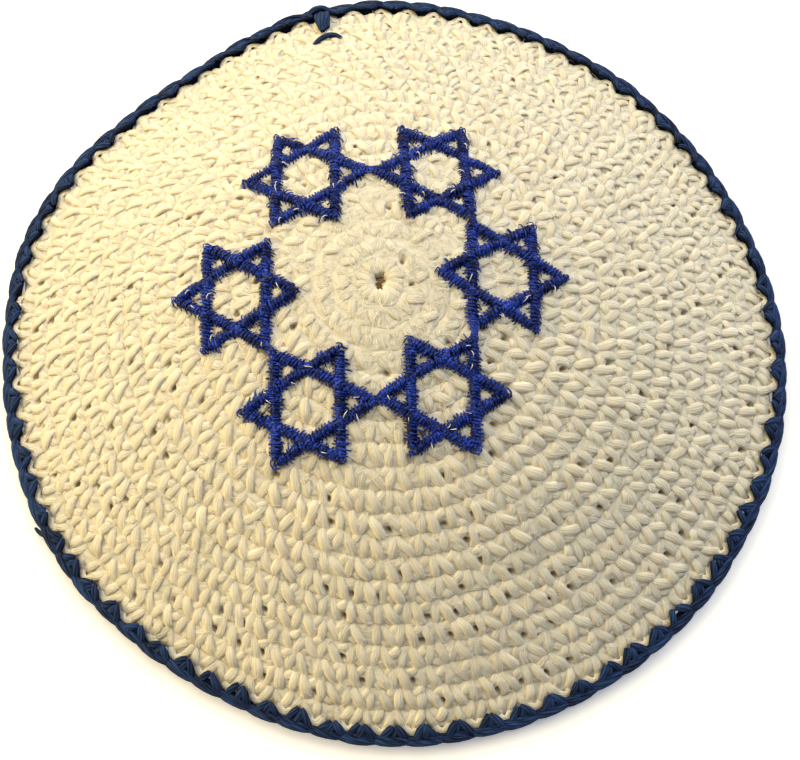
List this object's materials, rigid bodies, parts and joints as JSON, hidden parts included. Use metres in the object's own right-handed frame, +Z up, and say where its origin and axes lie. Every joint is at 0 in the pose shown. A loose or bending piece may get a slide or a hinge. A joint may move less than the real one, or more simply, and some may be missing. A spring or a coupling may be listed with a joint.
{
  "type": "crocheted kippah skullcap",
  "caption": "Round domed skullcap crocheted in rounds, with a toothed crocheted border and a ring of embroidered stars; worn on the crown of the head.",
  "frame": {"origin": "middle of the footprint, on the surface the rim rests on", "axes": "+Z up through the crown, -Y the side nearest the camera in the picture, +X its right"},
  "size_m": [0.1754, 0.1746, 0.034],
  "materials": {
    "crown_yarn": "matte cream cotton yarn",
    "edging_yarn": "matte navy cotton yarn",
    "star_thread": "silky royal-blue embroidery thread"
  },
  "bodies": {
    "root": {"crown": "crown_yarn", "edging": "edging_yarn", "star_right": "star_thread", "star_back_right": "star_thread", "star_back_left": "star_thread", "star_left": "star_thread", "star_front_left": "star_thread", "star_front_right": "star_thread"}
  },
  "joints": []
}
